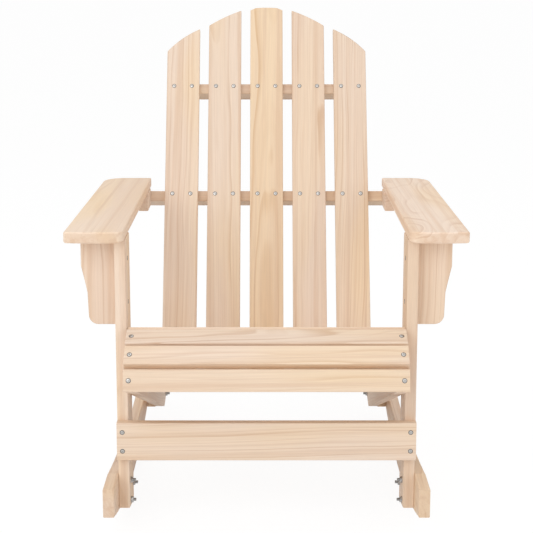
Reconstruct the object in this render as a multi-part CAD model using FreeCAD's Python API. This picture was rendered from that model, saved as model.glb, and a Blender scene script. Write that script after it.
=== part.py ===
import FreeCAD, Part
import math
import os

# Rocking adirondack chair of plain softwood boards, screwed and bolted together.
# X runs across the chair, Y runs from its front (-Y) to its back, Z is up. All sizes are mm.
# While it is put together, Y = 0 is the front edge of the front legs and Z = 0 their lower front
# corner. At the end the whole chair is moved to stand on Z = 0, centred under its own outline.

V = FreeCAD.Vector

# Boards
board_t = 20.0            # thickness of legs, rails, rockers, arms, brackets and blocks
slat_t = 15.0             # thickness of all slats and of the front stretcher
edge_round = 2.0          # easing of the long edges
sawn_round = 0.5          # sawn ends and undersides, only just broken

# Frame across the chair
seat_width = 492.0        # clear width between the front legs
slat_end_gap = 0.5        # seat slat end to leg

# Front legs and rear legs
leg_depth = 70.0
leg_foot_gap = 5.0        # end of a leg above the running edge of the rocker
rear_leg_y = 570.0        # front edge of the rear leg
arm_under_z = 496.0       # top of the front legs, underside of the arms

# Seat rails: a board that slopes down to the rear, with three flats cut on its nose
seat_slope = 21.1         # degrees
seat_rail_w = 100.0
nose_top_y = 1.7          # where the straight seat edge meets the first flat of the nose
nose_top_z = 324.0
nose_tilts = (23.5, 39.5, 75.0)
seat_rail_foot_y = rear_leg_y + 29.5
rail_foot_gap = 10.0      # its lower corner is cut off along a curve this far above the running edge

# Seat slats
seat_slat_w = 38.5
seat_slat_gap = 11.5      # between the slats on the straight part
nose_slat_gap = 0.6       # between the inner edges of slats that meet on the nose
seat_back_gap = 4.0       # least room between the last seat slat and the back

# Back: all in the leaning plane of the slats, heights measured along the slats
recline = 24.3            # degrees from upright
back_foot_y = 353.0       # lower front edge of the slats
back_foot_z = 140.0
back_slat_w = 70.0
back_slat_gap = 20.0
centre_top = 802.7        # ends of its flat stretch
centre_rise = 0.8         # how far the middle stands above them
centre_shoulder = (12.0, 5.4)             # across and down to its sides
shoulder_r = 8.0
second_top = (796.5, 781.5, 761.5)        # inner side, middle and outer side of the arched top
outer_top = (753.5, 733.5, 702.0)
top_corner_r = 1.2
outer_corner_r = 4.0
back_rail_t = 22.0        # battens on edge: their narrow face is against the slats
back_rail_depth = 42.0
upper_rail_at = 620.8
arm_rail_at = 381.3
lower_rail_at = 28.0
upper_rail_inset = 10.0   # its ends stay inside the outer edges of the back
back_screw_side = 19.0    # from the middle of a slat
back_screw_rise = 1.5     # above the middle of the upper and arm rails

# Arms, brackets and rear blocks
arm_front_y = -27.0
arm_rear_y = 551.0
arm_inner_inset = 1.0     # inner edge of the arm, out from the inner face of the leg
arm_front_w = 103.0
arm_rear_w = 97.0
arm_bow = 4.0             # how far the front edge bows forward
arm_front_inner_r = 22.0
arm_front_outer_r = 7.0
arm_rear_outer_r = 44.0
arm_round = 3.5
bracket_y = 25.0
bracket_reach = 61.5      # at its top
bracket_waist = 51.0
bracket_foot = 49.0
bracket_drop = 158.0
bracket_shoulder = 52.0   # straight length of the outer edge under the arm
bracket_waist_at = 100.0
bracket_turn = (0.64, 0.62)      # shares of the way from shoulder to waist, across and down
bracket_corner_r = 17.0          # lower outer corner
block_front_y = 461.0
block_drop = 35.6

# Rockers
rocker_r = 1390.0         # radius of the running edge
rocker_front = 73.0       # reach ahead of the front legs
rocker_rear_y = 815.0
rocker_drop = 2.6         # running edge below the front corner of the front leg
rocker_toe_z = 67.0
rocker_top = ((148.0, 48.5), (480.0, 37.0))
rocker_tail = ((560.0, 41.0), (690.0, 63.0), (815.0, 107.0))

# Front stretcher
stretcher_w = 70.0
stretcher_z = 98.2

# Screws: raised countersunk heads
screw_r = 2.25
screw_head_r = 4.5
screw_head_h = 2.6
screw_dome = 0.7
screw_dome_r = 2.5        # flat on top of the dome
screw_point_r = 0.45
fit_gap = 0.1             # round the shank and the head
screw_short = 28.0
screw_mid = 35.0
screw_long = 48.0
screw_rail = 66.0         # through the depth of the arm-level rail into the block
stretcher_screw_shares = (0.25, 0.75)     # of the stretcher's height
rail_screw_spots = ((0.28, 30.0), (0.28, 75.0), (0.74, 45.0))  # share of leg depth, drop from edge
rear_rail_screw_spots = ((0.26, 20.0), (0.26, 48.0))
bracket_screw_shares = (0.25, 0.75)       # of the bracket's height
block_screw_shares = (0.2, 0.48)          # of the block's length, clear of the screw from behind
lower_rail_screw_shares = (0.45, 0.8)     # of its depth, behind the points of the slat screws

# Bolts M6 with countersunk socket heads, flush in the rockers; washers and thin nuts inside
bolt_r = 3.0
bolt_hole_gap = 0.25
bolt_head_r = 6.0
bolt_head_h = 3.3
socket_af = 4.0
socket_depth = 2.2
washer_r = 6.0
washer_t = 1.2
nut_af = 10.0
nut_h = 3.2
bolt_past_nut = 5.0
front_bolts = ((20.0, 48.5), (leg_depth - 13.0, 29.0), (20.0, 10.5))
rear_bolt_through = (rear_leg_y + 24.0, 20.0)
rear_bolt_leg = (rear_leg_y + 56.0, 30.0)

# Dowels
dowel_r = 4.0
dowel_l = 36.0
dowel_in_arm = 13.0
dowel_chamfer = 1.0
dowel_leg_shares = (0.27, 0.73)           # of the leg's depth
dowel_bracket_share = 0.6                 # of the bracket's reach

wood_density = 0.5e-6     # kg per cubic mm
steel_density = 7.85e-6

half_seat = seat_width / 2
leg_out = half_seat + board_t
slope = math.radians(seat_slope)
lean = math.radians(recline)
pieces = {}
hardware = {}


def path_wire(path, to_space):
    """Closed wire: each entry is a point, or (middle point, end point) of an arc."""
    edges = []
    here = path[0]
    for step in path[1:] + [path[0]]:
        if isinstance(step[0], tuple):
            middle, end = step
            edges.append(Part.Arc(to_space(here), to_space(middle), to_space(end)).toShape())
        else:
            end = step
            edges.append(Part.LineSegment(to_space(here), to_space(end)).toShape())
        here = end
    return Part.Wire(edges)


def side_board(path, x_inner, thickness):
    """Board that stands fore and aft: outline in (y, z), from x_inner outwards."""
    wire = path_wire(path, lambda p: V(x_inner, p[0], p[1]))
    return Part.Face(wire).extrude(V(thickness, 0, 0))


def front_board(path, y_front, thickness):
    """Board that faces the front: outline in (x, z), from y_front backwards."""
    wire = path_wire(path, lambda p: V(p[0], y_front, p[1]))
    return Part.Face(wire).extrude(V(0, thickness, 0))


def eased(board, axis, radius):
    """Round the edges of the two broad faces, whose normal is the named axis."""
    long_edges = []
    for face in board.Faces:
        normal = face.normalAt(0, 0)
        if abs(getattr(normal, axis)) > 0.999 and face.Area > board.Volume / board_t / 2.2:
            long_edges.extend(face.Edges)
    return board.makeFillet(radius, long_edges)


def round_corner(board, middle, radius):
    """Round the corner of a board whose short edge has its middle at this point."""
    corner = [e for e in board.Edges if e.CenterOfMass.sub(middle).Length < 0.01]
    return board.makeFillet(radius, corner)


def eased_bar(bar, outwards):
    """Round the long edges on the outer side of a bar along X, and just break the others."""
    long_edges = [e for e in bar.Edges if e.BoundBox.XLength > seat_width / 2]
    middle = bar.CenterOfMass
    outer = [e for e in long_edges if (e.CenterOfMass - middle).dot(outwards) > 0]
    bar = bar.makeFillet(edge_round, outer)
    rounds = [f for f in bar.Faces if not isinstance(f.Surface, Part.Plane)]
    sharp = [e for e in bar.Edges if not any(e.isSame(r) for f in rounds for r in f.Edges)]
    return bar.makeFillet(sawn_round, sharp)


def mirrored(board):
    return board.mirror(V(0, 0, 0), V(1, 0, 0))


def add_pair(name, board):
    """Add a board made for +X, which is the right side seen from in front, and its mirror."""
    pieces[name + "_right"] = board
    pieces[name + "_left"] = mirrored(board)


def turned_cylinder(profile, start, direction):
    """Solid of revolution from (radius, distance) steps, along direction from start."""
    points = [V(0, 0, profile[0][1])]
    points += [V(r, 0, d) for r, d in profile]
    points += [V(0, 0, profile[-1][1]), V(0, 0, profile[0][1])]
    clean = [points[0]]
    for p in points[1:]:
        if p.sub(clean[-1]).Length > 1e-6:
            clean.append(p)
    solid = Part.Face(Part.makePolygon(clean)).revolve(V(0, 0, 0), V(0, 0, 1), 360)
    turn = FreeCAD.Rotation(V(0, 0, 1), direction)
    solid.Placement = FreeCAD.Placement(start, turn)
    return solid


def screw_solid(start, direction, length, gap):
    """Screw whose flat head rim lies at start. With a gap it is the hole for that screw."""
    profile = [
        (screw_head_r + gap if gap else screw_dome_r, -screw_dome),
        (screw_head_r + gap, 0),
        (screw_r + gap, screw_head_h + gap),
        (screw_r + gap, length - 2 * screw_r + gap),
        (screw_point_r, length + gap),
    ]
    return turned_cylinder(profile, start, direction)


def drive_screw(group, start, direction, length, through):
    """Add a screw to its group and drill it through the named pieces."""
    hardware.setdefault(group, []).append(screw_solid(start, direction, length, 0))
    hole = screw_solid(start, direction, length, fit_gap)
    for name in through:
        pieces[name] = pieces[name].cut(hole)


def hexagon(start, direction, height, across):
    """Hexagonal prism along direction."""
    corner = across / math.sqrt(3)
    points = [V(corner * math.cos(math.radians(a)), corner * math.sin(math.radians(a)), 0)
              for a in range(0, 361, 60)]
    prism = Part.Face(Part.makePolygon(points)).extrude(V(0, 0, height))
    prism.Placement = FreeCAD.Placement(start, FreeCAD.Rotation(V(0, 0, 1), direction))
    return prism


def drive_bolt(side, y, z, x_inner, through):
    """Bolt from the outer face of the rocker inwards, with a washer and a nut at its end."""
    inwards = V(-side, 0, 0)
    x_outer = leg_out + board_t
    outer = V(side * x_outer, y, z)
    reach = x_outer - x_inner + washer_t + nut_h + bolt_past_nut
    bolt = turned_cylinder([(bolt_head_r, 0), (bolt_r, bolt_head_h), (bolt_r, reach)], outer, inwards)
    socket = hexagon(outer, inwards, socket_depth, socket_af)
    hardware.setdefault("rocker_bolts", []).append(bolt.cut(socket))
    gap = bolt_hole_gap
    hole = turned_cylinder([(bolt_head_r + gap, -gap), (bolt_head_r + gap, 0),
                            (bolt_r + gap, bolt_head_h), (bolt_r + gap, reach)], outer, inwards)
    washer = Part.makeCylinder(washer_r, washer_t, V(side * x_inner, y, z), inwards)
    hardware.setdefault("rocker_washers", []).append(washer.cut(hole))
    nut = hexagon(V(side * (x_inner - washer_t), y, z), inwards, nut_h, nut_af)
    thread = Part.makeCylinder(bolt_r + fit_gap, reach, outer, inwards)
    hardware.setdefault("rocker_nuts", []).append(nut.cut(thread))
    for name in through:
        pieces[name] = pieces[name].cut(hole)


def seat_edge_z(y):
    """Upper edge of the seat rail on its straight part."""
    return nose_top_z - (y - nose_top_y) * math.tan(slope)


def seat_under_z(y):
    """Lower edge of the seat rail."""
    return seat_edge_z(y) - seat_rail_w / math.cos(slope)


def nose_flats():
    """Start, end and tilt of each flat on the nose, from the top forwards and down."""
    flats = []
    y, z = nose_top_y, nose_top_z
    for index, tilt in enumerate(nose_tilts):
        if index:
            between = math.radians((tilt + nose_tilts[index - 1]) / 2)
            y -= nose_slat_gap * math.cos(between)
            z -= nose_slat_gap * math.sin(between)
        a = math.radians(tilt)
        end = (y - seat_slat_w * math.cos(a), z - seat_slat_w * math.sin(a))
        flats.append(((y, z), end, a))
        y, z = end
    return flats


def seat_rail(low_y):
    flats = nose_flats()
    tip = flats[-1][1]
    lower_front = (tip[0], seat_under_z(tip[0]))
    foot = (seat_rail_foot_y, seat_under_z(seat_rail_foot_y))
    heel = (foot[0] + seat_rail_w * math.sin(slope), foot[1] + seat_rail_w * math.cos(slope))
    path = [heel, (nose_top_y, nose_top_z)]
    for (_, end, tilt), (_, _, next_tilt) in zip(flats, flats[1:]):
        reach = nose_slat_gap / 2 / math.cos((next_tilt - tilt) / 2)
        path.append((end[0] - reach * math.cos(tilt), end[1] - reach * math.sin(tilt)))
    path.append(tip)
    if tip[1] - lower_front[1] > 2 * edge_round:
        path.append(lower_front)
    path.append(foot)
    board = side_board(path, half_seat - board_t, board_t)
    above = Part.makeCylinder(rocker_r - rail_foot_gap, half_seat, V(0, low_y, running_centre_z(low_y)),
                              V(1, 0, 0))
    return eased(board.common(above), "x", edge_round)


def running_z(y, low_y, raise_by=0.0):
    """Height of the rocker's running edge, or of a curve a little above it."""
    centre_z = running_centre_z(low_y)
    r = rocker_r - raise_by
    return centre_z - math.sqrt(r * r - (y - low_y) ** 2)


def running_centre_z(low_y):
    return -rocker_drop + math.sqrt(rocker_r ** 2 - low_y ** 2)


def rocker(low_y):
    toe_y = -rocker_front
    toe = (toe_y, running_z(toe_y, low_y))
    heel = (rocker_rear_y, running_z(rocker_rear_y, low_y))
    lowest = (low_y, running_centre_z(low_y) - rocker_r)
    path = [
        toe,
        (lowest, heel),
        rocker_tail[2],
        (rocker_tail[1], rocker_tail[0]),
        rocker_top[1],
        (rocker_top[0], (0.0, rocker_toe_z)),
        (toe_y, rocker_toe_z),
    ]
    return eased(side_board(path, leg_out, board_t), "x", edge_round)


def front_leg(low_y):
    path = [
        (0.0, running_z(0.0, low_y, leg_foot_gap)),
        (leg_depth, running_z(leg_depth, low_y, leg_foot_gap)),
        (leg_depth, arm_under_z),
        (0.0, arm_under_z),
    ]
    return eased(side_board(path, half_seat, board_t), "x", edge_round)


def rear_leg(low_y):
    back = rear_leg_y + leg_depth
    path = [
        (rear_leg_y, running_z(rear_leg_y, low_y, leg_foot_gap)),
        (back, running_z(back, low_y, leg_foot_gap)),
        (back, seat_edge_z(back)),
        (rear_leg_y, seat_edge_z(rear_leg_y)),
    ]
    return eased(side_board(path, half_seat, board_t), "x", edge_round)


def arm():
    """Flat arm, wide in front, with a bowed front edge and three rounded corners."""
    inner_x = half_seat + arm_inner_inset
    front_inner = (inner_x, arm_front_y)
    front_middle = (inner_x + arm_front_w / 2, arm_front_y - arm_bow)
    front_outer = (inner_x + arm_front_w, arm_front_y)
    rear_outer = (inner_x + arm_rear_w, arm_rear_y)
    path = [(inner_x, arm_rear_y), front_inner, (front_middle, front_outer), rear_outer]
    wire = path_wire(path, lambda p: V(p[0], p[1], arm_under_z))
    board = Part.Face(wire).extrude(V(0, 0, board_t))
    corners = ((front_inner, arm_front_inner_r), (front_outer, arm_front_outer_r),
               (rear_outer, arm_rear_outer_r))
    for (x, y), radius in corners:
        board = round_corner(board, V(x, y, arm_under_z + board_t / 2), radius)
    return eased(board, "z", arm_round)


def arm_bracket():
    """Shaped bracket on the outer side of the front leg, across the chair."""
    top = arm_under_z
    foot = top - bracket_drop
    x = leg_out
    shoulder = (x + bracket_reach, top - bracket_shoulder)
    waist = (x + bracket_waist, top - bracket_waist_at)
    turn = (shoulder[0] - bracket_turn[0] * (bracket_reach - bracket_waist),
            shoulder[1] - bracket_turn[1] * (bracket_waist_at - bracket_shoulder))
    toe = (x + bracket_foot, foot)
    path = [(x, foot), (x, top), (x + bracket_reach, top), shoulder, (turn, waist), toe]
    board = front_board(path, bracket_y, board_t)
    board = round_corner(board, V(toe[0], bracket_y + board_t / 2, foot), bracket_corner_r)
    return eased(board, "y", edge_round)


def back_plane_y(z, behind):
    """Y of the plane a distance behind the front faces of the back slats, at a height."""
    return back_foot_y + (z - back_foot_z) * math.tan(lean) + behind / math.cos(lean)


def arm_block():
    """Block under the rear of the arm; its sloping back carries the arm-level back rail."""
    top = arm_under_z
    low = top - block_drop
    path = [
        (block_front_y, low),
        (back_plane_y(low, slat_t), low),
        (back_plane_y(top, slat_t), top),
        (block_front_y, top),
    ]
    return eased(side_board(path, half_seat, board_t), "x", edge_round)


def lean_back(shape):
    """Take a piece from the upright plane of the back to its leaning place."""
    shape.rotate(V(0, 0, 0), V(1, 0, 0), -recline)
    shape.translate(V(0, back_foot_y, back_foot_z))
    return shape


def back_slat(path, corners):
    """Slat from its outline in (x, height) and the corners of its top with their radii."""
    slat = front_board(path, 0.0, slat_t)
    for (x, height), radius in corners:
        slat = round_corner(slat, V(x, slat_t / 2, height), radius)
    return lean_back(eased(slat, "y", edge_round))


def side_slat(centre_x, tops):
    """Slat with an arched top; tops are its heights at the inner side, middle and outer side."""
    sign = -1 if centre_x < 0 else 1
    inner_x = centre_x - sign * back_slat_w / 2
    outer_x = centre_x + sign * back_slat_w / 2
    inner = (inner_x, tops[0])
    outer = (outer_x, tops[2])
    path = [(inner_x, 0.0), inner, ((centre_x, tops[1]), outer), (outer_x, 0.0)]
    return back_slat(path, ((inner, top_corner_r), (outer, outer_corner_r)))


def centre_slat():
    """Slat with an almost flat top between two sloping shoulders."""
    half = back_slat_w / 2
    across, down = centre_shoulder
    flat = half - across
    side = centre_top - down
    path = [(-half, 0.0), (-half, side), (-flat, centre_top),
            ((0.0, centre_top + centre_rise), (flat, centre_top)), (half, side), (half, 0.0)]
    corners = [((x, side), top_corner_r) for x in (-half, half)]
    corners += [((x, centre_top), shoulder_r) for x in (-flat, flat)]
    return back_slat(path, corners)


def back_rail(at, half_length):
    low = at - back_rail_t / 2
    rail = Part.makeBox(2 * half_length, back_rail_depth, back_rail_t, V(-half_length, slat_t, low))
    return lean_back(rail.makeFillet(edge_round, [e for e in rail.Edges if e.Length > half_length]))


def seat_slat(start, tilt):
    """Slat lying on the seat rail edge from start, tilted forwards (or backwards if negative)."""
    half = half_seat - slat_end_gap
    slat = eased_bar(Part.makeBox(2 * half, seat_slat_w, slat_t, V(-half, -seat_slat_w, 0)), V(0, 0, 1))
    slat.rotate(V(0, 0, 0), V(1, 0, 0), math.degrees(tilt))
    slat.translate(V(0, start[0], start[1]))
    return slat


def seat_slat_screws(name, start, tilt):
    """One screw at each end of a seat slat, into the middle of the seat rail."""
    along = V(0, -math.cos(tilt), -math.sin(tilt))
    out = V(0, -math.sin(tilt), math.cos(tilt))
    for side, rail in ((-1, "seat_rail_left"), (1, "seat_rail_right")):
        at = V(side * (half_seat - board_t / 2), start[0], start[1])
        at = at + along * (seat_slat_w / 2) + out * slat_t
        drive_screw("seat_slat_screws", at, out * -1, screw_mid, (name, rail))


def straight_seat_slats():
    """How many slats fit on the straight part, between the nose and the back."""
    along = (back_foot_y - nose_top_y) * math.cos(slope) + (nose_top_z - back_foot_z) * math.sin(slope)
    below = (nose_top_z - back_foot_z) * math.cos(slope) - (back_foot_y - nose_top_y) * math.sin(slope)
    room = along + below * math.tan(lean - slope) - seat_back_gap - nose_slat_gap
    return int((room + seat_slat_gap) // (seat_slat_w + seat_slat_gap))


def build_seat():
    for index, (start, _, tilt) in enumerate(nose_flats()):
        name = "seat_slat_nose_%d" % (index + 1)
        pieces[name] = seat_slat(start, tilt)
        seat_slat_screws(name, start, tilt)
    for index in range(straight_seat_slats()):
        run = nose_slat_gap + index * (seat_slat_w + seat_slat_gap) + seat_slat_w
        start = (nose_top_y + run * math.cos(slope), nose_top_z - run * math.sin(slope))
        name = "seat_slat_%d" % (index + 1)
        pieces[name] = seat_slat(start, -slope)
        seat_slat_screws(name, start, -slope)


def in_back_plane(x, height, behind):
    """Point in space from its place in the leaning plane of the back."""
    y = behind * math.cos(lean) + height * math.sin(lean)
    z = -behind * math.sin(lean) + height * math.cos(lean)
    return V(x, back_foot_y + y, back_foot_z + z)


def build_back():
    pitch = back_slat_w + back_slat_gap
    slats = (
        ("back_slat_centre", 0.0, centre_slat()),
        ("back_slat_inner_left", -pitch, side_slat(-pitch, second_top)),
        ("back_slat_inner_right", pitch, side_slat(pitch, second_top)),
        ("back_slat_outer_left", -2 * pitch, side_slat(-2 * pitch, outer_top)),
        ("back_slat_outer_right", 2 * pitch, side_slat(2 * pitch, outer_top)),
    )
    upper_half = 2 * pitch + back_slat_w / 2 - upper_rail_inset
    rails = (
        ("back_rail_upper", upper_rail_at, back_screw_rise, upper_half),
        ("back_rail_arm", arm_rail_at, back_screw_rise, leg_out),
        ("back_rail_lower", lower_rail_at, 0.0, half_seat - board_t),
    )
    for name, at, _, half_length in rails:
        pieces[name] = back_rail(at, half_length)
    into_back = in_back_plane(0, 0, 1) - in_back_plane(0, 0, 0)
    for name, x, slat in slats:
        pieces[name] = slat
        for rail, at, rise, _ in rails:
            for side in (-back_screw_side, back_screw_side):
                start = in_back_plane(x + side, at + rise, 0)
                drive_screw("back_slat_screws", start, into_back, screw_short, (name, rail))


def screw_frame(side, hand):
    """Screws that hold the stretcher and the seat rail of one side to its legs."""
    leg, rail = "front_leg" + hand, "seat_rail" + hand
    for share in stretcher_screw_shares:
        start = V(side * (half_seat + board_t / 2), -slat_t, stretcher_z + stretcher_w * share)
        drive_screw("stretcher_screws", start, V(0, 1, 0), screw_mid, ("front_stretcher", leg))
    places = [(leg, 0.0, spot) for spot in rail_screw_spots]
    places += [("rear_leg" + hand, rear_leg_y, spot) for spot in rear_rail_screw_spots]
    for upright, leg_y, (share, drop) in places:
        y = leg_y + share * leg_depth
        start = V(side * (half_seat - board_t), y, seat_edge_z(y) - drop)
        drive_screw("seat_rail_screws", start, V(side, 0, 0), screw_mid, (rail, upright))


def screw_arm_supports(side, hand):
    """Screws into the bracket and the rear block under one arm, and through the arm rail."""
    leg, bracket, block = "front_leg" + hand, "arm_bracket" + hand, "arm_block" + hand
    for share in bracket_screw_shares:
        start = V(side * half_seat, bracket_y + board_t / 2, arm_under_z - share * bracket_drop)
        drive_screw("bracket_screws", start, V(side, 0, 0), screw_long, (leg, bracket))
    middle = side * (half_seat + board_t / 2)
    low = arm_under_z - block_drop
    length = back_plane_y(low, slat_t) - block_front_y
    for share in block_screw_shares:
        start = V(middle, block_front_y + share * length, low)
        drive_screw("arm_block_screws", start, V(0, 0, 1), screw_long, (block, "arm" + hand))
    start = in_back_plane(middle, arm_rail_at, slat_t + back_rail_depth)
    forwards = in_back_plane(0, 0, 0) - in_back_plane(0, 0, 1)
    drive_screw("arm_block_screws", start, forwards, screw_rail, ("back_rail_arm", block))


def screw_lower_rail(side, hand):
    """Screws through the seat rail into the end of the lower back rail."""
    for share in lower_rail_screw_shares:
        behind = slat_t + share * back_rail_depth
        start = in_back_plane(side * half_seat, lower_rail_at, behind)
        drive_screw("lower_rail_screws", start, V(-side, 0, 0), screw_long,
                    ("seat_rail" + hand, "back_rail_lower"))


def peg_arm(side, hand):
    """Dowels from the top of the front leg and of the bracket up into one arm."""
    middle = side * (half_seat + board_t / 2)
    for share in dowel_leg_shares:
        add_dowel(middle, share * leg_depth, ("front_leg" + hand, "arm" + hand))
    add_dowel(side * (leg_out + dowel_bracket_share * bracket_reach), bracket_y + board_t / 2,
              ("arm_bracket" + hand, "arm" + hand))


def rims(peg):
    """The round edges at the two ends of a cylinder."""
    return [edge for edge in peg.Edges if isinstance(edge.Curve, Part.Circle)]


def add_dowel(x, y, through):
    """Wooden dowel between the underside of an arm and what carries it."""
    low = arm_under_z + dowel_in_arm - dowel_l
    peg = Part.makeCylinder(dowel_r, dowel_l, V(x, y, low))
    hardware.setdefault("arm_dowels", []).append(peg.makeChamfer(dowel_chamfer, rims(peg)))
    hole = Part.makeCylinder(dowel_r + fit_gap, dowel_l + 2 * fit_gap, V(x, y, low - fit_gap))
    for name in through:
        pieces[name] = pieces[name].cut(hole)


def build_rockers(low_y):
    """Rockers and what is cut to their curve, then the bolts that hold them."""
    add_pair("rocker", rocker(low_y))
    add_pair("front_leg", front_leg(low_y))
    add_pair("rear_leg", rear_leg(low_y))
    add_pair("seat_rail", seat_rail(low_y))


def bolt_rocker(side, hand):
    """Three bolts in the front leg, one in the rear leg, and one that also holds the seat rail."""
    rocker_side, rear_upright = "rocker" + hand, "rear_leg" + hand
    for y, z in front_bolts:
        drive_bolt(side, y, z, half_seat, (rocker_side, "front_leg" + hand))
    y, z = rear_bolt_leg
    drive_bolt(side, y, z, half_seat, (rocker_side, rear_upright))
    y, z = rear_bolt_through
    drive_bolt(side, y, z, half_seat - board_t, (rocker_side, rear_upright, "seat_rail" + hand))


def front_stretcher():
    bar = Part.makeBox(2 * leg_out, slat_t, stretcher_w, V(-leg_out, -slat_t, stretcher_z))
    return eased_bar(bar, V(0, -1, 0))


def build_chair(low_y):
    pieces.clear()
    hardware.clear()
    build_rockers(low_y)
    add_pair("arm", arm())
    add_pair("arm_bracket", arm_bracket())
    add_pair("arm_block", arm_block())
    pieces["front_stretcher"] = front_stretcher()
    build_seat()
    build_back()
    for side, hand in ((-1, "_left"), (1, "_right")):
        screw_frame(side, hand)
        screw_arm_supports(side, hand)
        screw_lower_rail(side, hand)
        peg_arm(side, hand)
        bolt_rocker(side, hand)


def balance_y():
    """Y of the centre of mass of the whole chair."""
    moment = 0.0
    mass = 0.0
    for shape in pieces.values():
        mass += shape.Volume * wood_density
        moment += shape.Volume * wood_density * shape.CenterOfGravity.y
    for group, solids in hardware.items():
        density = wood_density if group == "arm_dowels" else steel_density
        for solid in solids:
            mass += solid.Volume * density
            moment += solid.Volume * density * solid.CenterOfGravity.y
    return moment / mass


# The running edge is lowest straight under the centre of mass, so that the chair rests with its
# front legs upright. Moving that point changes the rockers a little, so it is found in two turns.
low_point = leg_depth / 2 + rear_leg_y / 2
for turn in range(2):
    build_chair(low_point)
    low_point = balance_y()
build_chair(low_point)
print("lowest point and centre of mass", round(low_point, 2), round(balance_y(), 2))

nodes = dict(pieces)
for group, solids in hardware.items():
    nodes[group] = Part.makeCompound(solids)

whole = Part.makeCompound(list(nodes.values())).optimalBoundingBox(False, False)
shift = V(0, -(whole.YMin + whole.YMax) / 2, -whole.ZMin)
os.makedirs("parts", exist_ok=True)
for name, shape in nodes.items():
    shape.translate(shift)
    shape.exportStep("parts/%s.step" % name)
print("pieces", len(nodes), "size", round(whole.XLength, 1), round(whole.YLength, 1),
      round(whole.ZLength, 1))
print("moved by", round(shift.y, 3), round(shift.z, 3))
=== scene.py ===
import bpy
import bmesh
import math
from mathutils import Matrix, Vector


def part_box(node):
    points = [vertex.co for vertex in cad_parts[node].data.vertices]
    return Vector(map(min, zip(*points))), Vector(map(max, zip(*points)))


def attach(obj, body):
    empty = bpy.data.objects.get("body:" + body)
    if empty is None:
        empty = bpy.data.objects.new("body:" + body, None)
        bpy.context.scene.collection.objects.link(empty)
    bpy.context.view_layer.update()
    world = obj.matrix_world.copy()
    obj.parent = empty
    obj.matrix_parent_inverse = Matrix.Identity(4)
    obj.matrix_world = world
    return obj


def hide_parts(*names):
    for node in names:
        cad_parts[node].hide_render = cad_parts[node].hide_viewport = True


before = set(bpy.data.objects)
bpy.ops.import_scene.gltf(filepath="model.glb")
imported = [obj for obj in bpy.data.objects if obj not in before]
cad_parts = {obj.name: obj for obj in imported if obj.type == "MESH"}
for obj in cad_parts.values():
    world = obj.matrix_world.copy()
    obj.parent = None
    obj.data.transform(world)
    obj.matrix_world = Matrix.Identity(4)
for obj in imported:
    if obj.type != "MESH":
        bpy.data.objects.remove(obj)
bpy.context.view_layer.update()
bpy.ops.object.select_all(action="DESELECT")


# Camera: it stands in front of the chair at the height of the back and looks a little down.
# The long lens keeps the upright legs almost parallel, as in the photograph.
camera_place = (0.0, -2.6345, 1.0134)
look_down = 10.370        # degrees
camera_turn = (math.radians(90.0 - look_down), 0.0, 0.0)
bpy.ops.object.camera_add(location=camera_place, rotation=camera_turn)
camera = bpy.context.object
camera.data.sensor_width = 36.0
camera.data.lens = 90.183
camera.data.shift_y = -0.12
bpy.context.scene.camera = camera
bpy.context.scene.view_settings.view_transform = "Standard"


# Studio: a pale floor, white all round, and three broad soft lamps. The strongest is high in
# front on the left, a weaker one is in front on the right, and one is above the chair.
def add_node(tree, kind, feeds=(), **settings):
    """A new node. A feed is either a plain value or the output of another node."""
    made = tree.nodes.new(kind)
    for name, value in settings.items():
        setattr(made, name, value)
    for name, value in dict(feeds).items():
        if isinstance(value, bpy.types.NodeSocket):
            tree.links.new(value, made.inputs[name])
        else:
            made.inputs[name].default_value = value
    return made


def calculate(tree, operation, first, second=0.0):
    feeds = {0: first, 1: second}
    return add_node(tree, "ShaderNodeMath", feeds, operation=operation).outputs[0]


def seen_directly(tree):
    """1 for rays that show the surroundings to the camera, straight or in a shiny surface."""
    path = add_node(tree, "ShaderNodeLightPath").outputs
    shiny = calculate(tree, "MAXIMUM", path["Is Glossy Ray"], path["Is Transmission Ray"])
    return calculate(tree, "MAXIMUM", path["Is Camera Ray"], shiny)


white = (1.0, 1.0, 1.0, 1.0)
world_light = 0.56        # lights the chair evenly; the world itself is seen as plain white
world = bpy.data.worlds.new("studio_white")
world.use_nodes = True
world_tree = world.node_tree
world_tree.nodes.clear()
bpy.context.scene.world = world
even_light = add_node(world_tree, "ShaderNodeBackground", {"Strength": world_light, "Color": white})
white_room = add_node(world_tree, "ShaderNodeBackground", {"Strength": 1.0, "Color": white})
world_mix = add_node(world_tree, "ShaderNodeMixShader", {
    "Fac": seen_directly(world_tree), 1: even_light.outputs[0], 2: white_room.outputs[0]})
add_node(world_tree, "ShaderNodeOutputWorld", {"Surface": world_mix.outputs[0]})

lamp_aim = Vector((0.0, 0.0, 0.45))
lamps = (                 # name, place, size in metres, watts
    ("lamp_front_left", (-1.5, -2.7, 2.0), 2.4, 38.0),
    ("lamp_front_right", (2.2, -2.3, 1.4), 2.0, 15.0),
    ("lamp_top", (0.0, -0.2, 3.2), 2.4, 14.0))
for lamp_name, lamp_place, lamp_size, lamp_power in lamps:
    turn = (lamp_aim - Vector(lamp_place)).to_track_quat("-Z", "Y").to_euler()
    bpy.ops.object.light_add(type="AREA", radius=lamp_size, location=lamp_place, rotation=turn)
    bpy.context.object.name = lamp_name
    bpy.context.object.data.energy = lamp_power
bpy.ops.object.select_all(action="DESELECT")

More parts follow.
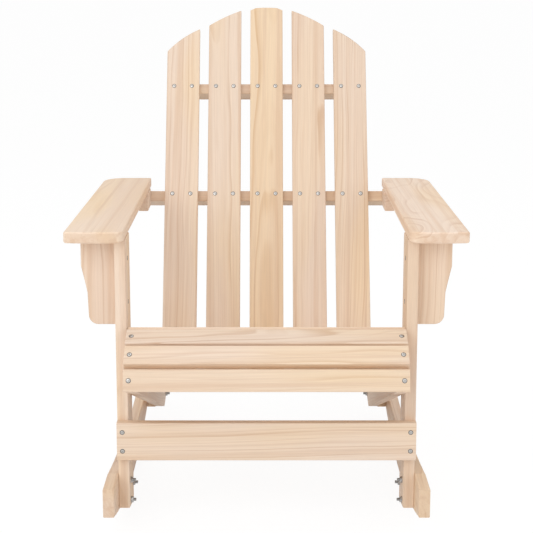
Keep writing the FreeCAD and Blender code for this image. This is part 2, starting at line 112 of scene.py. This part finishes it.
floor_size = 60.0
floor_drop = 0.0002       # the floor lies this far under the rockers
floor_white = (0.95, 0.95, 0.95, 1.0)
floor_glow = 0.86         # share of plain white in what the camera sees of the floor
glow_strength = 1.06
bpy.ops.mesh.primitive_plane_add(size=floor_size, location=(0.0, 0.0, -floor_drop))
floor = bpy.context.object
floor.name = "studio_floor"
floor_paint = bpy.data.materials.new("floor_paint")
floor_paint.use_nodes = True
paint_tree = floor_paint.node_tree
paint_tree.nodes.clear()
matt = add_node(paint_tree, "ShaderNodeBsdfDiffuse", {"Color": floor_white})
glow = add_node(paint_tree, "ShaderNodeEmission", {"Color": white, "Strength": glow_strength})
glow_share = calculate(paint_tree, "MULTIPLY", seen_directly(paint_tree), floor_glow)
floor_mix = add_node(paint_tree, "ShaderNodeMixShader", {
    "Fac": glow_share, 1: matt.outputs[0], 2: glow.outputs[0]})
add_node(paint_tree, "ShaderNodeOutputMaterial", {"Surface": floor_mix.outputs[0]})
floor.data.materials.append(floor_paint)


# Rockers: two boards sawn to a curve, on which the whole chair rolls, with the legs bolted to
# their inner faces. The grain runs straight from front to rear, so it leaves the curved edges at
# a slant. Like every board of the chair they are fir, planed and left bare.
def srgb(red, green, blue):
    """Colour as it is seen on a screen, 0 to 255, to the linear values of a node."""
    return tuple((c / 255.0 / 12.92) if c <= 10 else ((c / 255.0 + 0.055) / 1.055) ** 2.4
                 for c in (red, green, blue)) + (1.0,)


def with_vectors(tree, operation, feeds):
    return add_node(tree, "ShaderNodeVectorMath", feeds, operation=operation).outputs


def grain_noise(tree, place, along, across, detail=2.0):
    """Noise with these counts in a metre, along the board and across it."""
    stretched = with_vectors(tree, "MULTIPLY", {0: place, 1: (along, across, across)})[0]
    feeds = {"Vector": stretched, "Scale": 1.0, "Detail": detail}
    return add_node(tree, "ShaderNodeTexNoise", feeds).outputs


def year_noise(tree, years, scale, detail):
    """Noise that changes from year to year and is the same all round the log."""
    feeds = {"W": years, "Scale": scale, "Detail": detail}
    return add_node(tree, "ShaderNodeTexNoise", feeds, noise_dimensions="1D").outputs["Fac"]


def shifted(tree, place, along, across, reach, detail=2.0):
    """Push the place sideways by a slow noise, so that the rings wander."""
    noise = grain_noise(tree, place, along, across, detail)["Color"]
    centred = with_vectors(tree, "SUBTRACT", {0: noise, 1: (0.5, 0.5, 0.5)})[0]
    push = with_vectors(tree, "SCALE", {0: centred, "Scale": reach})[0]
    return with_vectors(tree, "ADD", {0: place, 1: push})[0]


def ramp(tree, value, low, high, out_low=0.0, out_high=1.0):
    feeds = {"Value": value, "From Min": low, "From Max": high,
             "To Min": out_low, "To Max": out_high}
    return add_node(tree, "ShaderNodeMapRange", feeds, interpolation_type="SMOOTHSTEP").outputs[0]


def blend(tree, share, first, second, how="MIX"):
    feeds = {0: share, 6: first, 7: second}
    return add_node(tree, "ShaderNodeMix", feeds, data_type="RGBA", blend_type=how).outputs[2]


def fir_log():
    """Node group that turns a place in the log into the colour, roughness and height of the wood.

    It is one solid pattern of year rings round a pith that runs along X. Ring is the width of a
    year in metres, and Swirl is how far the rings stray from their circles.
    """
    tree = bpy.data.node_groups.new("fir_log", "ShaderNodeTree")
    sockets = (
        ("Place", "INPUT", "Vector"), ("Ring", "INPUT", "Float"), ("Swirl", "INPUT", "Float"),
        ("Contrast", "INPUT", "Float"), ("Yellow", "INPUT", "Float"), ("Tone", "INPUT", "Float"),
        ("Color", "OUTPUT", "Color"), ("Roughness", "OUTPUT", "Float"),
        ("Height", "OUTPUT", "Float"))
    for name, way, kind in sockets:
        tree.interface.new_socket(name=name, in_out=way, socket_type="NodeSocket" + kind)
    feed = tree.nodes.new("NodeGroupInput").outputs
    place = feed["Place"]

    # The rings wander in long waves, in short ones, and in the swirls of this board.
    wandering = shifted(tree, place, along=1.7, across=8.0, reach=0.030)
    wandering = shifted(tree, wandering, along=7.0, across=40.0, reach=0.0030)
    wandering = shifted(tree, wandering, along=4.0, across=15.0, reach=feed["Swirl"], detail=1.0)
    section = with_vectors(tree, "MULTIPLY", {0: wandering, 1: (0.0, 1.0, 1.0)})[0]
    radius = with_vectors(tree, "LENGTH", {0: section})["Value"]

    # Some years are wider than others, and some have hardly any late wood.
    most_extra_years = 2.6
    years = calculate(tree, "DIVIDE", radius, feed["Ring"])
    lean_years = year_noise(tree, years, scale=0.37, detail=1.0)
    extra_years = calculate(tree, "MULTIPLY", lean_years, most_extra_years)
    years = calculate(tree, "ADD", years, extra_years)
    weather = year_noise(tree, years, scale=0.61, detail=2.0)

    # Late wood darkens slowly to the end of a year and stops at once. Along the board it fades.
    year_part = calculate(tree, "FRACT", years)
    darkening = ramp(tree, year_part, low=0.1, high=0.85)
    stopping = ramp(tree, year_part, low=0.86, high=1.0, out_low=1.0, out_high=0.0)
    strong_years = ramp(tree, weather, low=0.35, high=0.66, out_low=0.05)
    fading = grain_noise(tree, place, along=3.0, across=40.0)["Fac"]
    still_there = ramp(tree, fading, low=0.36, high=0.62, out_low=0.25)
    late = calculate(tree, "MULTIPLY", darkening, stopping)
    late = calculate(tree, "MULTIPLY", late, strong_years)
    late = calculate(tree, "MULTIPLY", late, still_there)

    early_pink, early_yellow = srgb(241, 220, 201), srgb(242, 216, 184)
    late_brown, late_yellow = srgb(208, 173, 145), srgb(212, 170, 122)
    patches = grain_noise(tree, place, along=2.2, across=11.0, detail=1.0)["Fac"]
    patch_yellow = ramp(tree, patches, low=0.35, high=0.7, out_low=-0.30, out_high=0.40)
    yellowness = calculate(tree, "ADD", feed["Yellow"], patch_yellow)
    yellowness = ramp(tree, yellowness, low=0.0, high=1.0)
    early_wood = blend(tree, yellowness, early_pink, early_yellow)
    late_wood = blend(tree, yellowness, late_brown, late_yellow)
    late_share = calculate(tree, "MULTIPLY", late, feed["Contrast"])
    wood = blend(tree, late_share, early_wood, late_wood)

    # Marks along the grain: counts of the noise along and across, its detail, where it starts to
    # show and shows in full, its largest share, and its colour.
    streaks = (0.9, 75.0, 3.0, 0.47, 0.68, 0.50, srgb(220, 187, 158))
    fine_lines = (1.8, 260.0, 2.0, 0.54, 0.74, 0.22, srgb(205, 169, 139))
    broad_bands = (0.8, 24.0, 1.0, 0.44, 0.66, 0.42, srgb(226, 196, 170))
    for along, across, detail, faint, full, most, colour in (streaks, fine_lines, broad_bands):
        noise = grain_noise(tree, place, along, across, detail)["Fac"]
        share = calculate(tree, "MULTIPLY", ramp(tree, noise, faint, full), most)
        wood = blend(tree, share, wood, colour)

    # Single fibres shade the wood a little, and make the planed face a little rough.
    fibres = grain_noise(tree, place, along=16.0, across=1500.0, detail=1.0)["Fac"]
    fibre_shade = ramp(tree, fibres, low=0.25, high=0.75, out_low=0.96, out_high=1.04)
    fibre_shade = calculate(tree, "MULTIPLY", fibre_shade, feed["Tone"])
    wood = blend(tree, 1.0, wood, fibre_shade, "MULTIPLY")
    fibre_roughness = ramp(tree, fibres, low=0.3, high=0.7, out_low=0.50, out_high=0.62)
    late_roughness = calculate(tree, "MULTIPLY", late, -0.06)
    roughness = calculate(tree, "ADD", fibre_roughness, late_roughness)
    fibre_height = calculate(tree, "MULTIPLY", fibres, 0.6)
    late_height = calculate(tree, "MULTIPLY", late, 0.35)
    height = calculate(tree, "ADD", fibre_height, late_height)
    add_node(tree, "NodeGroupOutput", {"Color": wood, "Roughness": roughness, "Height": height})
    return tree


log = fir_log()
end_grain = srgb(196, 160, 128)
most_end_grain = 0.28     # share of that colour on a sawn end
side_face, end_face = 0.75, 0.97      # how far a face looks along the grain
relief_strength, relief_depth = 0.35, 0.0004
wood_gloss = 0.3


def saw_from_log(node, along, across, pith=(0.01, -0.06), slip=0.0, lean_in_log=1.2,
                 ring=0.0060, swirl=0.006, contrast=0.5, yellow=0.35, tone=1.0):
    """Give a CAD board its wood: the grain runs along it, at its own place and turn in the log.

    The pith is this far from its middle, across it and through it. It slips along the log by
    so many metres, and leans in it by so many degrees.
    """
    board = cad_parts[node]
    low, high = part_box(node)
    along, across = Vector(along).normalized(), Vector(across).normalized()
    through = along.cross(across)
    tilt = Matrix.Rotation(math.radians(lean_in_log), 3, through)
    turned = tilt @ Matrix((along, across, through)).transposed()
    pith_place = (low + high) / 2 + across * pith[0] + through * pith[1] - along * slip
    finish = bpy.data.materials.new("fir_" + node)
    finish.use_nodes = True
    tree = finish.node_tree
    tree.nodes.clear()
    corner = add_node(tree, "ShaderNodeTexCoord").outputs
    place = add_node(tree, "ShaderNodeMapping", {
        "Vector": corner["Object"], "Location": pith_place, "Rotation": turned.to_euler()},
        vector_type="TEXTURE").outputs[0]
    wood = add_node(tree, "ShaderNodeGroup", node_tree=log)
    tree.links.new(place, wood.inputs["Place"])
    traits = {"Ring": ring, "Swirl": swirl, "Contrast": contrast, "Yellow": yellow, "Tone": tone}
    for trait, value in traits.items():
        wood.inputs[trait].default_value = value
    facing = with_vectors(tree, "DOT_PRODUCT", {0: corner["Normal"], 1: along})["Value"]
    facing = calculate(tree, "ABSOLUTE", facing)
    end_share = calculate(tree, "MULTIPLY", ramp(tree, facing, side_face, end_face), most_end_grain)
    colour = blend(tree, end_share, wood.outputs["Color"], end_grain)
    relief = add_node(tree, "ShaderNodeBump", {
        "Height": wood.outputs["Height"], "Strength": relief_strength, "Distance": relief_depth})
    surface = add_node(tree, "ShaderNodeBsdfPrincipled", {
        "Base Color": colour, "Roughness": wood.outputs["Roughness"], "Normal": relief.outputs[0],
        "Specular IOR Level": wood_gloss})
    add_node(tree, "ShaderNodeOutputMaterial", {"Surface": surface.outputs[0]})
    board.data.materials.clear()
    board.data.materials.append(finish)


x_way, y_way, z_way = Vector((1, 0, 0)), Vector((0, 1, 0)), Vector((0, 0, 1))
saw_from_log("rocker_left", y_way, z_way, pith=(0.03, 0.05), slip=0.4, lean_in_log=0.8)
saw_from_log("rocker_right", y_way, z_way, pith=(-0.02, -0.06), slip=1.9, lean_in_log=-0.6)


# Front and rear legs: upright fir boards, bolted to the inner faces of the rockers. The front
# ones carry the arms, the short rear ones carry the rear of the seat rails.
saw_from_log("front_leg_left", z_way, y_way, pith=(0.06, 0.03), slip=2.7, swirl=0.02)
saw_from_log("front_leg_right", z_way, y_way, pith=(0.05, -0.05), slip=5.1, swirl=0.02, tone=0.97)
saw_from_log("rear_leg_left", z_way, y_way, pith=(-0.02, 0.05), slip=3.3)
saw_from_log("rear_leg_right", z_way, y_way, pith=(0.01, -0.05), slip=4.2)


# Seat rails: the two sloping boards that carry the seat slats. They are screwed to the inner
# faces of the legs, and three flats are sawn on the nose of each.
seat_slope = math.radians(21.1)
rail_way = Vector((0, math.cos(seat_slope), -math.sin(seat_slope)))
rail_up = Vector((0, math.sin(seat_slope), math.cos(seat_slope)))
saw_from_log("seat_rail_left", rail_way, rail_up, pith=(0.02, 0.05), slip=6.3)
saw_from_log("seat_rail_right", rail_way, rail_up, pith=(-0.03, -0.05), slip=7.4)


# Front stretcher: one thin fir board laid flat across the front of the legs, between the seat
# and the rockers. Two screws at each end hold it.
saw_from_log("front_stretcher", x_way, z_way, pith=(-0.02, 0.05), slip=8.2, contrast=0.6,
             yellow=0.2, tone=0.98)


# Seat slats: thin boards, three round the nose and eight down the sloping part, each with a
# screw at both ends. Every slat comes from another place in the log.
nose_slats = (            # tilt in degrees, and the wood of the slat
    (23.5, {"yellow": 0.35, "tone": 0.96, "contrast": 0.8, "swirl": 0.03, "ring": 0.005}),
    (39.5, {"yellow": 0.25, "tone": 0.98}),
    (75.0, {"yellow": 0.75, "tone": 0.96}))
for index, (tilt, wood) in enumerate(nose_slats):
    tilt = math.radians(tilt)
    slat_way = Vector((0, math.cos(tilt), math.sin(tilt)))
    saw_from_log("seat_slat_nose_%d" % (index + 1), x_way, slat_way,
                 pith=(0.015 - 0.02 * index, -0.045), slip=1.3 * index, **wood)
sloping_slats = 8
for index in range(sloping_slats):
    pith_aside = 0.02 * math.sin(2.1 * index)
    yellow = 0.25 + 0.2 * math.sin(1.7 * index)
    saw_from_log("seat_slat_%d" % (index + 1), x_way, rail_way, pith=(pith_aside, -0.05),
                 slip=4.0 + 1.1 * index, yellow=yellow)


# Back slats: five leaning boards whose tops make one arch, each screwed to three rails behind.
# The middle one is a yellower board.
recline = math.radians(24.3)
back_way = Vector((0, math.sin(recline), math.cos(recline)))
back_slats = {
    "outer_left": {"pith": (0.050, 0.030), "slip": 0.3, "lean_in_log": 0.8,
                   "yellow": 0.35, "contrast": 0.6, "tone": 0.98},
    "inner_left": {"pith": (0.015, 0.055), "slip": 1.6, "lean_in_log": -1.1,
                   "yellow": 0.50, "contrast": 0.5, "tone": 0.96},
    "centre": {"pith": (-0.030, 0.050), "slip": 2.4, "lean_in_log": 0.8,
               "yellow": 0.80, "contrast": 0.6, "tone": 0.98},
    "inner_right": {"pith": (-0.020, 0.060), "slip": 4.4, "lean_in_log": 0.7,
                    "yellow": 0.10, "contrast": 0.8, "tone": 0.98},
    "outer_right": {"pith": (0.030, 0.045), "slip": 5.7, "lean_in_log": 1.3,
                    "yellow": 0.50, "contrast": 0.7, "tone": 0.97}}
for slat, wood in back_slats.items():
    saw_from_log("back_slat_" + slat, back_way, x_way, swirl=0.012, **wood)


# Back rails: three battens on edge behind the slats. The arm-level one joins the two rear blocks,
# the lower one is held between the seat rails, and the upper one ties the slats under the arch.
back_depth = Vector((0, math.cos(recline), -math.sin(recline)))
for index, name in enumerate(("back_rail_lower", "back_rail_arm", "back_rail_upper")):
    saw_from_log(name, x_way, back_depth, pith=(0.03, 0.03), slip=9.0 + index, yellow=0.3,
                 tone=0.93)


# Arms: broad flat boards, pegged with hidden dowels to the front legs and the shaped brackets,
# and with a block screwed under the rear of each. They are sawn near the bark, so wide waves of
# year rings lie in their faces.
saw_from_log("arm_left", y_way, x_way, pith=(0.02, -0.11), slip=0.8, lean_in_log=1.5, ring=0.014,
             swirl=0.05, contrast=0.35, yellow=0.6, tone=1.06)
saw_from_log("arm_right", y_way, x_way, pith=(0.0, -0.12), slip=3.4, lean_in_log=-1.0, ring=0.010,
             swirl=0.11, contrast=0.75, yellow=0.2, tone=1.11)
saw_from_log("arm_bracket_left", z_way, x_way, pith=(0.01, -0.05), slip=2.2, swirl=0.03,
             contrast=0.6, yellow=0.25)
saw_from_log("arm_bracket_right", z_way, x_way, pith=(-0.02, -0.05), slip=3.9, swirl=0.03,
             contrast=0.6, yellow=0.1)
saw_from_log("arm_block_left", y_way, z_way, pith=(0.0, 0.04), slip=1.1)
saw_from_log("arm_block_right", y_way, z_way, pith=(0.01, -0.04), slip=6.6)
saw_from_log("arm_dowels", z_way, x_way, pith=(0.0, 0.0))


# Screws: countersunk, of zinc-plated steel, with a low domed head, a cross recess and a pointed
# shank, driven until the rim is level with the wood. They hold every slat, rail and block.
def zinc(name, colour, dullness):
    """Zinc plating: a pale grey metal with a faint cloudy finish and fine scratches."""
    cloud_scale, cloud_dark, cloud_dull = 420.0, 0.78, 0.08
    scratch_scale, scratch_relief, scratch_depth = 2600.0, 0.15, 0.00005
    finish = bpy.data.materials.new(name)
    finish.use_nodes = True
    tree = finish.node_tree
    tree.nodes.clear()
    place = add_node(tree, "ShaderNodeTexCoord").outputs["Object"]
    clouds = add_node(tree, "ShaderNodeTexNoise", {
        "Vector": place, "Scale": cloud_scale, "Detail": 3.0}).outputs["Fac"]
    scratches = add_node(tree, "ShaderNodeTexNoise", {
        "Vector": place, "Scale": scratch_scale, "Detail": 1.0}).outputs["Fac"]
    darker = tuple(cloud_dark * part for part in colour[:3]) + (1.0,)
    tint = blend(tree, ramp(tree, clouds, low=0.35, high=0.65), darker, colour)
    roughness = ramp(tree, clouds, low=0.3, high=0.7, out_low=dullness + cloud_dull,
                     out_high=dullness)
    relief = add_node(tree, "ShaderNodeBump", {
        "Height": scratches, "Strength": scratch_relief, "Distance": scratch_depth})
    surface = add_node(tree, "ShaderNodeBsdfPrincipled", {
        "Base Color": tint, "Metallic": 1.0, "Normal": relief.outputs[0], "Roughness": roughness})
    add_node(tree, "ShaderNodeOutputMaterial", {"Surface": surface.outputs[0]})
    return finish


def pick_faces(test):
    """In edit mode, select only the faces whose middle and normal pass the test."""
    mesh = bmesh.from_edit_mesh(bpy.context.object.data)
    for face in mesh.faces:
        face.select_set(test(face.calc_center_median(), face.normal))
    mesh.select_flush_mode()
    bmesh.update_edit_mesh(bpy.context.object.data)


def faces_up(middle, normal):
    return normal.z > 0.9


def faces_down(middle, normal):
    return normal.z < -0.9


def draw_down(length, scale=1.0):
    """Extrude the selected end face downwards, then widen or narrow it."""
    bpy.ops.mesh.extrude_region_move(TRANSFORM_OT_translate={"value": (0.0, 0.0, -length)})
    bpy.ops.transform.resize(value=(scale, scale, 1.0), center_override=(0.0, 0.0, 0.0))


def start_round(radius, depth, sides):
    """A disc whose top is at the origin, opened for editing."""
    bpy.ops.object.select_all(action="DESELECT")
    bpy.ops.mesh.primitive_cylinder_add(vertices=sides, radius=radius, depth=depth,
                                        location=(0.0, 0.0, -depth / 2))
    bpy.ops.object.transform_apply(location=True, rotation=True, scale=True)
    bpy.ops.object.mode_set(mode="EDIT")
    bpy.ops.mesh.select_mode(type="FACE")


def cut_out(body, cutter, how="DIFFERENCE"):
    """Boolean of two objects; the cutter goes."""
    bpy.ops.object.select_all(action="DESELECT")
    bpy.context.view_layer.objects.active = body
    body.select_set(True)
    trim = body.modifiers.new("trim", "BOOLEAN")
    trim.operation = how
    trim.object = cutter
    trim.solver = "EXACT"
    bpy.ops.object.modifier_apply(modifier=trim.name)
    bpy.data.objects.remove(cutter)


screw_zinc = zinc("screw_zinc", srgb(204, 201, 197), 0.36)
# Painted shade and painted reflection: the rim of each head gets a darker zinc. It stands in for
# the shadow of the countersunk seat and for dark surroundings reflected in the sides of the dome.
screw_rim_painted_shade = zinc("screw_rim_painted_shade", srgb(120, 117, 114), 0.45)
head_sides, head_r, head_depth, head_rim = 28, 0.0043, 0.0026, 0.0003
shank_r, screw_point, point_share = 0.00225, 0.0045, 0.12      # the point ends at this share
dome_steps = ((0.0011, 0.00040), (0.0010, 0.00018), (0.0008, 0.00008))    # inset, rise
recess_reach, recess_slot, recess_depth, recess_taper = 0.0022, 0.0009, 0.0015, 0.6
recess_top, recess_spare = 0.001, 0.0002      # top of the cutter over the rim, and its overshoot
screw_smooth = math.radians(38.0)     # flatter edges than this are shaded smooth


def recess_arm(turned):
    """One bar of the cross, narrower at its bottom."""
    size = (recess_slot, 2 * recess_reach) if turned else (2 * recess_reach, recess_slot)
    middle = (0.0, 0.0, recess_top - recess_depth / 2)
    bpy.ops.object.select_all(action="DESELECT")
    bpy.ops.mesh.primitive_cube_add(size=1.0, location=middle)
    bpy.ops.transform.resize(value=(size[0], size[1], recess_depth + recess_spare))
    bpy.ops.object.transform_apply(location=True, rotation=True, scale=True)
    bpy.ops.object.mode_set(mode="EDIT")
    bpy.ops.mesh.select_mode(type="FACE")
    pick_faces(faces_down)
    bpy.ops.transform.resize(value=(recess_taper, recess_taper, 1.0),
                             center_override=(0.0, 0.0, 0.0))
    bpy.ops.object.mode_set(mode="OBJECT")
    return bpy.context.object


# The rim faces of a head, which take the painted shade.
def painted_shade_rim(middle, normal):
    return middle.xy.length > head_r - dome_steps[0][0]


def make_screw(length):
    start_round(head_r, head_rim, head_sides)
    pick_faces(faces_up)
    for inset, rise in dome_steps:
        bpy.ops.mesh.inset(thickness=inset, depth=rise)
    screw = bpy.context.object
    screw.data.materials.append(screw_zinc)
    screw.data.materials.append(screw_rim_painted_shade)
    # Paint the rim faces with the darker zinc of the painted shade and reflection.
    pick_faces(painted_shade_rim)
    screw.active_material_index = 1
    bpy.ops.object.material_slot_assign()
    pick_faces(faces_down)
    draw_down(head_depth - head_rim, shank_r / head_r)
    draw_down(length - head_depth - screw_point)
    draw_down(screw_point, point_share)
    bpy.ops.object.mode_set(mode="OBJECT")
    for turned in (False, True):
        cut_out(screw, recess_arm(turned))
    bpy.ops.object.shade_smooth_by_angle(angle=screw_smooth)
    return screw


def solids_of(node):
    """The points of each separate solid in a CAD node."""
    weld = 1e-6
    mesh = bmesh.new()
    mesh.from_mesh(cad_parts[node].data)
    bmesh.ops.remove_doubles(mesh, verts=mesh.verts, dist=weld)
    mesh.verts.index_update()
    waiting, solids = set(mesh.verts), []
    while waiting:
        reached, growing = set(), [waiting.pop()]
        while growing:
            point = growing.pop()
            reached.add(point)
            beside = {edge.other_vert(point) for edge in point.link_edges} & waiting
            waiting -= beside
            growing.extend(beside)
        in_order = sorted(reached, key=lambda point: point.index)
        solids.append([point.co.copy() for point in in_order])
    mesh.free()
    return sorted(solids, key=lambda points: tuple(sum(points, Vector()) / len(points)))


def way_in(points):
    """The axis of a screw from its head to its point, the middle of its head, and its length."""
    rounds = 30           # enough to turn a first guess into the long axis
    middle = sum(points, Vector()) / len(points)
    spread = [[sum((p[i] - middle[i]) * (p[j] - middle[j]) for p in points) for j in range(3)]
              for i in range(3)]
    axis = max((p - middle for p in points), key=lambda away: away.length).normalized()
    for _ in range(rounds):
        axis = (Matrix(spread) @ axis).normalized()
    far = [(p - middle).dot(axis) for p in points]
    if max(far) < -min(far):
        axis = -axis
        far = [-f for f in far]
    return axis, middle + axis * min(far), max(far) - min(far)


def set_in_place(pattern, head, inwards, spin):
    """Copy a fastener that points down from the origin to where it sits, with its own mesh."""
    turn = Vector((0.0, 0.0, -1.0)).rotation_difference(inwards).to_matrix().to_4x4()
    copy = pattern.copy()
    copy.data = pattern.data.copy()
    copy.data.transform(Matrix.Translation(head) @ turn @ Matrix.Rotation(spin, 4, "Z"))
    bpy.context.scene.collection.objects.link(copy)
    return copy


def one_piece(copies, name, node):
    """Join the copies into the piece that stands for a CAD node."""
    bpy.ops.object.select_all(action="DESELECT")
    for copy in copies:
        copy.select_set(True)
    bpy.context.view_layer.objects.active = copies[0]
    bpy.ops.object.join()
    piece = bpy.context.object
    piece.name = name
    piece.data.name = name
    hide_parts(node)
    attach(piece, "root")


cad_dome = 0.0007         # the heads of the CAD screws stand this far proud
screw_turn = 2.4          # radians from one screw's cross to the next one's
screw_patterns = {}
screw_groups = (
    ("screws_back_slats", "back_slat_screws"), ("screws_seat_slats", "seat_slat_screws"),
    ("screws_stretcher", "stretcher_screws"), ("screws_seat_rails", "seat_rail_screws"),
    ("screws_brackets", "bracket_screws"), ("screws_arm_blocks", "arm_block_screws"),
    ("screws_lower_rail", "lower_rail_screws"))
for piece_name, node in screw_groups:
    copies = []
    for count, points in enumerate(solids_of(node)):
        inwards, head, whole = way_in(points)
        rim_middle = head + inwards * cad_dome
        length = round(whole - cad_dome, 3)
        if length not in screw_patterns:
            screw_patterns[length] = make_screw(length)
        pattern = screw_patterns[length]
        copies.append(set_in_place(pattern, rim_middle, inwards, screw_turn * count))
    one_piece(copies, piece_name, node)
for pattern in screw_patterns.values():
    bpy.data.objects.remove(pattern)


# Bolts: zinc-plated countersunk socket bolts through rocker and leg, flush outside, with a washer
# and a thin nut inside and some thread beyond. Five on each side hold a rocker to its legs.
bolt_zinc = zinc("bolt_zinc", srgb(188, 187, 186), 0.32)
bolt_sides, bolt_r, bolt_head_r, bolt_head_depth, bolt_rim = 32, 0.003, 0.006, 0.0033, 0.0003
bolt_smooth = math.radians(25.0)
socket_sides, socket_r, socket_depth = 6, 0.0023, 0.0022
thread_pitch, thread_turns = 0.001, 18
thread_root, thread_end = 0.86, 0.8       # shares of the width beside them
washer_sides, washer_r, washer_edge = 40, 0.006, 0.0002
nut_sides, nut_r, nut_edge = 6, 0.01 / math.sqrt(3), 0.0007       # 10 mm across the flats
turned_sides, bore_sides, fitting_gap = 48, 32, 0.0001
washer_corner, nut_corner = math.radians(60.0), math.radians(35.0)    # sharper edges are eased


def make_bolt(length):
    start_round(bolt_head_r, bolt_rim, bolt_sides)
    pick_faces(faces_down)
    draw_down(bolt_head_depth - bolt_rim, bolt_r / bolt_head_r)
    draw_down(length - bolt_head_depth - thread_turns * thread_pitch - thread_pitch / 2)
    for _ in range(thread_turns):
        draw_down(thread_pitch / 2, thread_root)
        draw_down(thread_pitch / 2, 1.0 / thread_root)
    draw_down(thread_pitch / 2, thread_end)
    bpy.ops.object.mode_set(mode="OBJECT")
    bolt = bpy.context.object
    bpy.ops.object.select_all(action="DESELECT")
    bpy.ops.mesh.primitive_cylinder_add(vertices=socket_sides, radius=socket_r,
                                        depth=2 * socket_depth)
    cut_out(bolt, bpy.context.object)
    bpy.ops.object.shade_smooth_by_angle(angle=bolt_smooth)
    return bolt


def add_bevel(body, width, corner):
    bpy.context.view_layer.objects.active = body
    soften = body.modifiers.new("soften", "BEVEL")
    soften.width = width
    soften.segments = 2
    soften.limit_method = "ANGLE"
    soften.angle_limit = corner
    bpy.ops.object.modifier_apply(modifier=soften.name)


def start_ring(outer_r, thickness, sides):
    start_round(outer_r, thickness, sides)
    bpy.ops.object.mode_set(mode="OBJECT")
    return bpy.context.object


def bore_for_thread(body, thickness):
    bpy.ops.mesh.primitive_cylinder_add(vertices=bore_sides, radius=bolt_r + fitting_gap,
                                        depth=4 * thickness)
    cut_out(body, bpy.context.object)


def make_washer(thickness):
    washer = start_ring(washer_r, thickness, washer_sides)
    bore_for_thread(washer, thickness)
    add_bevel(washer, washer_edge, washer_corner)
    return washer


def make_nut(thickness):
    """A hexagon whose corners are taken off by a bevelled round, nearly as wide as it is."""
    nut = start_ring(nut_r, thickness, nut_sides)
    bpy.ops.mesh.primitive_cylinder_add(vertices=turned_sides, radius=nut_r - fitting_gap,
                                        depth=thickness, location=(0.0, 0.0, -thickness / 2))
    turned_round = bpy.context.object
    add_bevel(turned_round, nut_edge, nut_corner)
    cut_out(nut, turned_round, "INTERSECT")
    bore_for_thread(nut, thickness)
    return nut


def along_x(points):
    """Outer end of a part that lies across the chair, the way to the middle, and its length."""
    ends = [p.x for p in points]
    side = 1.0 if sum(ends) > 0 else -1.0
    outer = max(ends) if side > 0 else min(ends)
    middle = sum(points, Vector()) / len(points)
    return Vector((outer, middle.y, middle.z)), Vector((-side, 0.0, 0.0)), max(ends) - min(ends)


bolt_turn = 0.7           # radians from one socket or nut to the next
bolt_parts = (
    ("bolts_rockers", "rocker_bolts", make_bolt),
    ("washers_rockers", "rocker_washers", make_washer),
    ("nuts_rockers", "rocker_nuts", make_nut))
for piece_name, node, make in bolt_parts:
    copies, patterns = [], {}
    for count, points in enumerate(solids_of(node)):
        outer, inwards, length = along_x(points)
        length = round(length, 4)
        if length not in patterns:
            patterns[length] = make(length)
            patterns[length].data.materials.clear()
            patterns[length].data.materials.append(bolt_zinc)
        copies.append(set_in_place(patterns[length], outer, inwards, bolt_turn * count))
    one_piece(copies, piece_name, node)
    for pattern in patterns.values():
        bpy.data.objects.remove(pattern)
